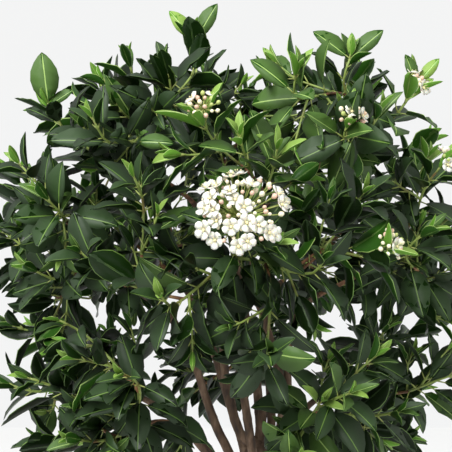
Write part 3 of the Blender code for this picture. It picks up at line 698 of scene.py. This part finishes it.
def growLeaf(twig, point, along, age, half, newGrowth):
    # tries for one leaf of a pair, each swung further off its place than the last, until one
    # keeps to its own space, clear of the limbs and of the leaves that are there
    draw = leafRng.uniform
    side, other = squarePair(along)
    share, angle = leaf["ages"][min(age + (1 if twig["head"] else 0), 8)]
    for attempt in range(leaf["tries"]):
        swing = leafRng.normal(0, leaf["swing"] + leaf["swingMore"] * attempt)
        out = turned(side, other, twig["turn"] + age * math.pi / 2 + half * math.pi + swing)
        spread = math.radians(angle + leafRng.normal(0, leaf["angleScatter"])
                              - leaf["angleLess"] * attempt)
        droop = leaf["droop"] * age * draw(*leaf["droopRange"])
        way = unit(along * math.cos(spread) + out * math.sin(spread) - up * droop)
        face = (along * math.sin(spread) - out * math.cos(spread)
                + up * (leaf["faceUp"] + leaf["faceUpMore"] * age))
        normal = squareTo(face, way)
        size = leaf["fullLength"] * share * draw(*leaf["lengthRange"])
        if not twig["main"]:
            size *= leaf["sideShare"]
        stalk = leaf["petiole"] * share * draw(*leaf["petioleRange"])
        root = point + way * stalk
        arch = draw(*leaf["arch"]) * min(age / 3 + 0.25, 1.0)
        centre = root + way * size * 0.5
        end = root + way * size - normal * arch * size
        if not (inSpace(end, twig["number"], -leaf["overlap"])
                and clearOfLimbs(np.stack((centre, end)), leaf["limbGap"])):
            continue
        apart = leaf["apart"] * min(share, 1)
        if leafCentres and np.linalg.norm(np.array(leafCentres) - centre, axis=1).min() < apart:
            continue
        leafCentres.append(centre)
        tone = twig["tone"] if age > 1 else min(twig["tone"] + (2 - age), 3)
        if age == 0 and newGrowth:
            tone = 3
        if age > 1 and leafRng.random() < leaf["otherTone"]:
            tone = int(leafRng.integers(0, 3))
        young = age < 2
        leaves[list(leafTones)[tone]].append(dict(
            root=root, along=way, normal=normal, length=size,
            width=(size * leaf["width"] * draw(*leaf["widthRange"])
                   * (leaf["youngWidth"] if young else 1.0)),
            fold=draw(*leaf["fold"]) + (leaf["youngFold"] if young else 0.0),
            arch=arch, ripple=draw(0.0, leaf["ripple"]), phase=draw(0, anyPhase)))
        petioles.append((np.stack((point, point + way * stalk * 0.5, root + way * 0.002)),
                         np.array((1.15, 1.0, 0.8)) * leaf["petioleRadius"]))
        return


leaves = {tone: [] for tone in leafTones}
petioles, leafCentres = [], []
for twig in twigs:
    newGrowth = leafRng.random() < leaf["newGrowth"]
    distance = leaf["firstUnderHead"] if twig["head"] else leaf["firstPair"]
    for age in range(leaf["pairs"] if twig["main"] else leaf["sidePairs"]):
        at = walkBack(twig["path"], distance)
        if at is None:
            break
        for half in (0, 1):
            growLeaf(twig, *at, age, half, newGrowth)
        step = leaf["stepYoung"] + leaf["stepMore"] * min(age, 5)
        distance += leaf["pairStep"] * step * leafRng.uniform(*leaf["stepRange"])

# leaves that stand out in the photo: marked tip, lean from upright in the picture (degrees,
# + to the right), length, width, tone
featureLeaves = (
    (1, -38, 0.033, 0.014, "young"), (1, 30, 0.037, 0.015, "light"), (1, -4, 0.016, 0.006, "young"),
    (2, -6, 0.046, 0.025, "light"), (2, 55, 0.024, 0.010, "light"),
    (3, -52, 0.038, 0.016, "light"), (3, 48, 0.036, 0.015, "light"), (3, 4, 0.020, 0.008, "young"),
    (6, -20, 0.026, 0.011, "light"), (6, 40, 0.028, 0.011, "young"),
)
outerLeaf = dict(length=0.046, width=0.019, tone="mid", rise=0.12, tilt=0.2)


def addFeature(spray, along, normal, length, width, tone):
    # a leaf from the very tip of a shoot
    tip = spray["path"][-1]
    root = tip + along * 0.003
    leaves[tone].append(dict(root=root, along=along, normal=squareTo(normal, along), length=length,
                             width=width, fold=0.45, arch=0.12, ripple=0.02, phase=length * 100))
    petioles.append((np.stack((tip - along * 0.002, tip, root + along * 0.002)),
                     np.array((1.2, 1.0, 0.8)) * leaf["petioleRadius"]))


for number, lean, length, width, tone in featureLeaves:
    marked = crown["middle"] + np.array(markedTips[number][:3])
    spray = min(sprays, key=lambda grown: np.linalg.norm(grown["tip"] - marked))
    if np.linalg.norm(spray["tip"] - marked) < 0.01:
        turn = math.radians(lean)
        along = unit(np.array((math.sin(turn), -0.12, math.cos(turn))))
        addFeature(spray, along, np.array((0.05, -1.0, 0.35)), length, width, tone)
# the furthest shoot on each side ends in one long leaf that points outwards
for way in np.array(((-1.0, 0.0, 0.0), (1.0, 0.0, 0.0), (0.0, -1.0, 0.0), (0.0, 1.0, 0.0))):
    spray = max(sprays, key=lambda grown: float(grown["path"][-1] @ way))
    addFeature(spray, unit(way + up * outerLeaf["rise"]), unit(up - way * outerLeaf["tilt"]),
               outerLeaf["length"], outerLeaf["width"], outerLeaf["tone"])
leafPieces = []
for tone, group in leaves.items():
    n = len(group)
    loops = (bladeLoops[None] + bladeCorners * np.arange(n)[:, None]).ravel()
    points = bladePoints(group).reshape(-1, 3)
    leafPieces.append(addPiece("leaves" + tone.capitalize(), points, loops, np.tile(bladeSizes, n),
                               leafSkins[tone], np.tile(bladeSlots, n)))
    print("leaves", tone, n)
stalks = tubesPiece("leafStalks", petioles, 4, petioleGreen)


bloom = dict(
    seed=5, open=24, openBuds=44, headBuds=16, mainHead=0.94, mainAxis=(0.05, -1.0, 0.80),
    smallHead=1.15, lean=0.55,  # how far a small head leans out from its shoot
    petal=0.0063, petalRange=(0.85, 1.1), petalWidth=1.04, cup=(0.25, 0.6), cupRange=(0.7, 1.3),
    eye=0.0007, upper=0.0002, lower=0.0005,  # petals start at the eye, and are 0.3 mm thick
    budRadius=0.0019, budLength=0.0046, budRange=(0.75, 1.15),
    # the dome: how much of a ball it covers, how flat it is, how far flowers and buds stand out
    covers=0.80, flatness=0.50, openReach=(0.92, 1.03), budReach=(0.70, 0.97), sink=0.10,
    outward=0.7, fork=0.55, forkRise=0.02, stalkRadius=0.0006,
)
flowerRng = np.random.default_rng(bloom["seed"])
petalRim = np.array(((0.0, 0.0), (0.25, 0.30), (0.62, 0.50), (0.90, 0.36), (1.0, 0.0),
                     (0.90, -0.36), (0.62, -0.50), (0.25, -0.30)))
petalFaces = [(8, (i + 1) % 8, i) for i in range(8)] + [(9, i, (i + 1) % 8) for i in range(8)]
petals, flowerCentres, stamens, flowerStalks = [], [], [], []
buds, pinkBuds, greenBuds = [], [], []


def addFlower(middle, axis, size, cup):
    # five petals round the axis. Each is a rim of 8 points on a shallow cup, z = cup x^2, and
    # two points at its heart, one on the upper face and one on the lower
    side, other = squarePair(axis)
    spin = flowerRng.uniform(0, anyPhase)
    for k in range(5):
        out = turned(side, other, spin + k * fullTurn / 5)
        across = np.cross(axis, out)
        r = bloom["eye"] + petalRim[:, 0] * size
        high = cup * size * (petalRim[:, 0] ** 2) * flowerRng.uniform(*bloom["cupRange"])
        wide = petalRim[:, 1] * size * bloom["petalWidth"]
        rim = middle + r[:, None] * out + wide[:, None] * across + high[:, None] * axis
        heart = middle + (bloom["eye"] + 0.6 * size) * out + 0.30 * cup * size * axis
        ends = [heart - bloom["upper"] * axis, heart - bloom["lower"] * axis]
        petals.append((np.concatenate((rim, ends)), np.array(petalFaces).ravel(), np.full(16, 3)))
    flowerCentres.append((middle + np.outer((-0.001, 0.0004, 0.0011, 0.0014), axis),
                          np.array((0.0008, 0.0012, 0.0009, 0.0003))))
    for k in range(5):
        way = unit(axis * 1.3 + turned(side, other, spin + (k + 0.5) * fullTurn / 5))
        stamens.append((middle + np.outer((0.0, 0.0022, 0.0034, 0.0038, 0.0044), way),
                        np.array((0.00012, 0.00012, 0.00016, 0.00042, 0.0001))))


def addBud(middle, axis, size, group):
    # a pointed egg: radii along the axis, widest at the middle
    along = np.array((-1.0, -0.6, 0.0, 0.6, 1.0)) * bloom["budLength"] / 2 * size
    radii = np.array((0.25, 0.72, 1.0, 0.8, 0.2)) * bloom["budRadius"] * size
    group.append((middle + np.outer(along, axis), radii))


def addHead(tip, axis, radius, opened, closed, kinds):
    # a dome of flowers and buds on stalks that fan out from the shoot's tip
    side, other = squarePair(axis)
    total = opened + closed
    order = flowerRng.permutation(total)
    for k in range(total):
        rise = 1 - bloom["covers"] * (k + 0.5) / total
        flat = math.sqrt(1 - rise * rise)
        isOpen = order[k] < opened
        way = turned(side * flat, other * flat, k * goldenAngle)
        way = way + axis * rise * bloom["flatness"]
        reach = radius * flowerRng.uniform(*bloom["openReach" if isOpen else "budReach"])
        spot = tip + way * reach + axis * radius * bloom["sink"]
        outward = unit(unit(way) + axis * bloom["outward"])
        root = tip - axis * radius * bloom["sink"]
        fork = root + (spot - root) * bloom["fork"] + axis * radius * bloom["forkRise"]
        flowerStalks.append((bend(root, axis, fork, unit(spot - root), 0.3, 4),
                             np.full(4, bloom["stalkRadius"])))
        flowerStalks.append((np.stack((fork, (fork + spot) / 2, spot)),
                             np.array((0.0005, 0.00045, 0.0004))))
        if isOpen:
            size = bloom["petal"] * flowerRng.uniform(*bloom["petalRange"])
            addFlower(spot, outward, size, flowerRng.uniform(*bloom["cup"]))
        else:
            group = kinds[int(flowerRng.integers(0, len(kinds)))]
            size = flowerRng.uniform(*bloom["budRange"])
            addBud(spot + outward * 0.001, outward, size, group)


for spray in sprays:
    if not spray["head"]:
        continue
    tip = spray["path"][-1]
    if spray["head"] > 0.02:
        addHead(tip, unit(np.array(bloom["mainAxis"])), spray["head"] * bloom["mainHead"],
                bloom["open"], bloom["openBuds"], (buds, buds, pinkBuds))
    else:
        along = unit(tip - spray["path"][-2])
        axis = unit(along + bloom["lean"] * unit((tip - crown["middle"]) * level))
        addHead(tip, axis, spray["head"] * bloom["smallHead"], int(flowerRng.integers(1, 4)),
                bloom["headBuds"], (buds, pinkBuds, buds, greenBuds))
addPiece("petals", *joined(petals), [petalWhite])
tubesPiece("flowerCentres", flowerCentres, 6, stamenCream)
tubesPiece("stamens", stamens, 4, stamenCream)
tubesPiece("budsCream", buds, 7, budCream)
tubesPiece("budsPink", pinkBuds, 7, budPink)
tubesPiece("budsGreen", greenBuds, 7, budGreen)
tubesPiece("flowerStalks", flowerStalks, 4, petioleGreen)
foliageNodes = ["foliage_" + limb["name"] for limb in plan]
for piece in [twigsOld, twigsGreen, stalks, *leafPieces]:
    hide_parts(*foliageNodes)
print("flowers:", len(flowerCentres), "buds:", len(buds) + len(pinkBuds) + len(greenBuds))


pot = dict(
    height=0.245, foot=0.096, footRound=0.003, wall=0.010, floor=0.014, segments=128,
    rim=0.140, rimDepth=0.046, rimStep=0.007, rimUnderRound=0.0024, lip=0.013, lipRound=0.004,
    holes=4, holeRadius=0.008, holeCircle=0.054,
)


def roundCorner(middle, radius, start, stop, steps=7):
    angles = np.radians(np.linspace(start, stop, steps))
    return [(middle[0] + radius * math.cos(a), middle[1] + radius * math.sin(a)) for a in angles]


def innerRadius(height):
    # straight line from the floor of the pot to its lip
    share = (height - pot["floor"]) / (pot["height"] - pot["floor"])
    foot = pot["foot"] - pot["wall"]
    return foot + share * (pot["rim"] - pot["lip"] - foot)


def lathe(profile, segments):
    # the profile (r, z) turned about Z: (r cos a, r sin a, z), its first and last points on
    # the axis
    r, z = np.array(profile).T
    a = np.linspace(0, fullTurn, segments, endpoint=False)
    grid = np.stack((np.outer(r, np.cos(a)), np.outer(r, np.sin(a)),
                     np.repeat(z[:, None], segments, 1)), axis=-1)
    points = np.concatenate((grid[1:-1].reshape(-1, 3), [(0, 0, z[0]), (0, 0, z[-1])]))
    return points, *closedRings(len(r) - 2, segments)


def potProfile():
    # from the middle of the floor up the inside, over the lip, down the rim and the wall, and
    # back under the foot
    rim, foot = pot["rim"], pot["foot"]
    lipRound, footRound, under = pot["lipRound"], pot["footRound"], pot["rimUnderRound"]
    lipHigh = pot["height"] - lipRound
    rimFoot = pot["height"] - pot["rimDepth"]
    waist = rim - pot["rimStep"]
    points = [(0.0, pot["floor"]), (innerRadius(pot["floor"]) - 0.006, pot["floor"])]
    points += [(innerRadius(h), h) for h in (0.019, 0.06, 0.12, 0.18, 0.225)]
    points += roundCorner((rim - pot["lip"] + lipRound, lipHigh), lipRound, 180, 90)
    points += roundCorner((rim - lipRound, lipHigh), lipRound, 90, 0)
    points += [(rim - 0.0006, pot["height"] - 0.02), (rim - 0.0014, rimFoot + 0.004)]
    points += roundCorner((rim - 0.004, rimFoot + under), under, 0, -90, 5)
    points += [(waist + 0.0008, rimFoot - 0.0006), (waist - 0.0004, rimFoot - 0.004)]
    points += [(foot + (waist - foot) * t, rimFoot * t) for t in (0.75, 0.5, 0.25, 0.08)]
    points += roundCorner((foot - footRound, footRound), footRound, 0, -90)
    return points + [(0.07, 0.0), (0.0, 0.0)]


potClay = addPiece("potClay", *lathe(potProfile(), pot["segments"]), [clay], slotName="clay")
cutters = []
for i in range(pot["holes"]):
    turn = fullTurn * (i + 0.5) / pot["holes"]
    spot = (pot["holeCircle"] * math.cos(turn), pot["holeCircle"] * math.sin(turn), 0.0)
    bpy.ops.mesh.primitive_cylinder_add(vertices=32, radius=pot["holeRadius"], depth=0.06,
                                        location=spot)
    cutters.append(bpy.context.object)
    hole = potClay.modifiers.new("drain", "BOOLEAN")
    hole.object = bpy.context.object
bpy.context.view_layer.update()
evaluated = potClay.evaluated_get(bpy.context.evaluated_depsgraph_get())
drilled = bpy.data.meshes.new_from_object(evaluated)
potClay.modifiers.clear()
potClay.data = drilled
for cutter in cutters:
    bpy.data.objects.remove(cutter, do_unlink=True)
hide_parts("pot")


soil = dict(
    seed=3, top=0.2185, base=0.19, dip=0.006, wallGap=0.0002, rings=46, spokes=120,
    waves=12, waveLength=(0.008, 0.025), lumps=0.0016,
    crumbs=900, crumbSize=(0.0008, 0.0028), crumbGirth=(0.5, 0.9), flatness=0.35, stemGap=0.016,
)
soilRng = np.random.default_rng(soil["seed"])
r = np.linspace(0, 1, soil["rings"])[1:, None]
a = np.linspace(0, fullTurn, soil["spokes"], endpoint=False)[None]
soilEdge = innerRadius(soil["top"]) - soil["wallGap"]
x, y = r * soilEdge * np.cos(a), r * soilEdge * np.sin(a)
# surface: a fall towards the wall, as r^3, plus plane waves of 8 to 25 mm for the lumps
z = soil["top"] - soil["dip"] * r**3 + 0 * a
for _ in range(soil["waves"]):
    turn = soilRng.uniform(0, anyPhase)
    wave = fullTurn / soilRng.uniform(*soil["waveLength"])
    phase = soilRng.uniform(0, anyPhase)
    z = z + soil["lumps"] / 3 * np.sin(wave * (x * math.cos(turn) + y * math.sin(turn)) + phase)
top = np.stack((x, y, z), axis=-1)
side = top[-1:] * level + up * soil["base"]
grid = np.concatenate((top, side)).reshape(-1, 3)
points = np.concatenate((grid, [(0, 0, soil["top"]), (0, 0, soil["base"])]))
compostPiece = addPiece("compost", points, *closedRings(soil["rings"], soil["spokes"]),
                        [compost], slotName="soil")
crumbs = []
for _ in range(soil["crumbs"]):
    away, turn = soilEdge * 0.97 * math.sqrt(soilRng.random()), soilRng.uniform(0, anyPhase)
    size = soilRng.uniform(*soil["crumbSize"])
    if away < soil["stemGap"]:
        continue
    drop = soil["dip"] * (away / soilEdge) ** 3
    spot = np.array((away * math.cos(turn), away * math.sin(turn),
                     soil["top"] - drop + size * 0.25))
    way = unit(soilRng.normal(0, 1, 3) * (1, 1, soil["flatness"])) * size
    girth = size * soilRng.uniform(*soil["crumbGirth"])
    crumbs.append((spot + np.outer((-1, -0.5, 0.4, 1), way), girth * np.array((0.4, 1, 0.9, 0.3))))
tubesPiece("compostCrumbs", crumbs, 5, compost, slotName="soil")
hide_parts("soil")
print("pot and compost")


studio = dict(
    sky=(0.93, 0.935, 0.935, 1), skyStrength=0.97, floorHalf=3, litSpot=(-0.01, 0, 0.85),
    # soft boxes: place, size and power
    keyAbove=((-0.7, -1.2, 2.3), 0.9, 50.0), fillRight=((1.6, -0.9, 1.2), 1.2, 4.0),
    # the photo's view: the crown alone, seen from a little above
    aim=(-0.012, 0.0, 0.92), distance=1.05, elevation=4.0, lens=93.0,
)
half = studio["floorHalf"]
floorMesh = bpy.data.meshes.new("studioFloor")
floorMesh.from_pydata([(-half, -half, 0), (half, -half, 0), (half, half, 0), (-half, half, 0)], [],
                      [(0, 1, 2, 3)])
floorMesh.materials.append(studioFloor)
floor = bpy.data.objects.new("studioFloor", floorMesh)
bpy.context.scene.collection.objects.link(floor)

world = bpy.data.worlds.new("studio")
bpy.context.scene.world = world
world.use_nodes = True
background = world.node_tree.nodes["Background"]
background.inputs["Color"].default_value = studio["sky"]
background.inputs["Strength"].default_value = studio["skyStrength"]


def aimed(name, data, place, target):
    # a light or camera at a place, turned to look at the target
    thing = bpy.data.objects.new(name, data)
    thing.location = place
    thing.rotation_euler = (Vector(target) - Vector(place)).to_track_quat("-Z", "Y").to_euler()
    bpy.context.scene.collection.objects.link(thing)
    return thing


for name in ("keyAbove", "fillRight"):
    place, size, power = studio[name]
    light = bpy.data.lights.new(name, "AREA")
    light.size = size
    light.energy = power
    aimed(name, light, place, studio["litSpot"])
rise = math.radians(studio["elevation"])
eye = Vector(studio["aim"]) + studio["distance"] * Vector((0, -math.cos(rise), math.sin(rise)))
camera = aimed("photoView", bpy.data.cameras.new("photoView"), eye, studio["aim"])
camera.data.lens = studio["lens"]
camera.data.clip_start = 0.01
bpy.context.scene.camera = camera
bpy.context.scene.view_settings.view_transform = "Standard"
print("studio set")

bpy.context.view_layer.update()
